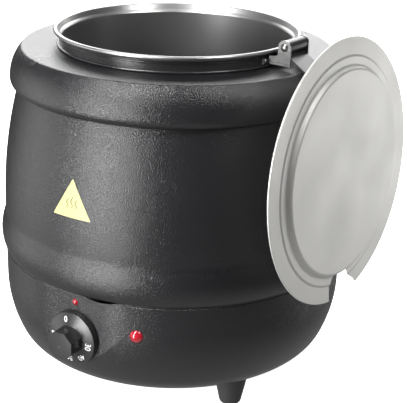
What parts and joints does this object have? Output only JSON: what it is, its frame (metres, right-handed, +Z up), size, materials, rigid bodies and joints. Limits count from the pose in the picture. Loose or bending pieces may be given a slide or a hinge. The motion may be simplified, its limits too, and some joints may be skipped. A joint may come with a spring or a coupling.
{
  "type": "soup kettle",
  "caption": "Electric soup kettle with a black bell-shaped casing, a lift-out stainless pot and a notched lid hung on a two-pivot strap hinge.",
  "frame": {"origin": "on the kettle's axis, in the plane of its feet", "axes": "+Z up along the pot's axis; +X towards the lid hinge; the controls face -Y, turned 4.2 degrees towards +X"},
  "size_m": [0.3702, 0.3715, 0.36],
  "materials": {
    "casing_black": "satin black stove enamel with a fine speckle",
    "bottom_black": "satin black",
    "neck_black": "gloss black",
    "strap_black": "semi-gloss black",
    "stainless_pot": "satin stainless, turned",
    "stainless_lid": "satin stainless",
    "stainless_well": "matt stainless",
    "hinge_steel": "satin steel",
    "zinc": "bright zinc plate",
    "glass_wool": "matt fibre",
    "heater_aluminium": "cast, matt",
    "element_steel": "heat-darkened steel",
    "copper": "bright copper",
    "phenolic": "moulded",
    "knob_black": "moulded black plastic",
    "lamp_red": "clear red lens",
    "ceramic": "glazed",
    "brass": "bright",
    "lead_sleeve": "silicone sleeve",
    "gland_black": "moulded nylon",
    "sign_yellow": "printed vinyl",
    "foot_rubber": "moulded black rubber"
  },
  "bodies": {
    "casing": {"collar_cover": "casing_black", "collar_posts": "zinc", "barrel_shell": "casing_black", "base_shell": "casing_black", "bottom_plate": "bottom_black", "bottom_screws": "zinc", "well_liner": "stainless_well", "insulation_sleeve": "glass_wool", "heater_plate": "heater_aluminium", "heating_element": "element_steel", "element_clips": "zinc", "thermal_cutout": "element_steel", "sensor_bulb": "copper", "capillary_tube": "copper", "thermostat_body": "phenolic", "thermostat_bracket": "zinc", "thermostat_screws": "zinc", "power_lamp": "lamp_red", "power_lamp_holder": "ceramic", "heat_lamp": "lamp_red", "heat_lamp_holder": "ceramic", "terminal_block": "ceramic", "terminal_screws": "brass", "earth_stud": "brass", "inner_leads": "lead_sleeve", "cable_gland": "gland_black", "gland_nut": "gland_black", "heat_sign": "sign_yellow", "front_left_foot": "foot_rubber", "front_right_foot": "foot_rubber", "rear_foot": "foot_rubber", "foot_screws": "zinc"},
    "vessel": {"soup_pot": "stainless_pot", "neck_ring": "neck_black", "hinge_bracket": "hinge_steel", "bracket_rivets": "hinge_steel", "hinge_pin": "hinge_steel"},
    "strap": {"hinge_strap": "strap_black"},
    "lid": {"lid_disc": "stainless_lid", "lid_ears": "hinge_steel", "lid_pin": "hinge_steel", "lid_knob": "knob_black", "lid_knob_stud": "hinge_steel", "lid_knob_washer": "hinge_steel"},
    "knob": {"knob_skirt": "knob_black", "knob_grip": "knob_black", "thermostat_spindle": "zinc"}
  },
  "joints": [
    {"name": "pot_lift", "type": "slide", "parent": "casing", "child": "vessel", "axis": [0, 0, 1], "range_m": [0, 0.26]},
    {"name": "strap_swing", "type": "hinge", "parent": "vessel", "child": "strap", "pos_m": [0.1295, 0, 0.3455], "axis": [0, -1, 0], "range_deg": [0, 217.79]},
    {"name": "lid_swing", "type": "hinge", "parent": "strap", "child": "lid", "pos_m": [0.1785, 0, 0.30232], "axis": [0, -1, 0], "range_deg": [0, 49.22]},
    {"name": "knob_turn", "type": "hinge", "parent": "casing", "child": "knob", "pos_m": [0.01197, -0.16306, 0.082], "axis": [0.0732, -0.9973, 0], "range_deg": [-300, 0]}
  ],
  "couplings": [
    {"joint": "lid_swing", "follows": "strap_swing", "ratio": 0.22595}
  ]
}
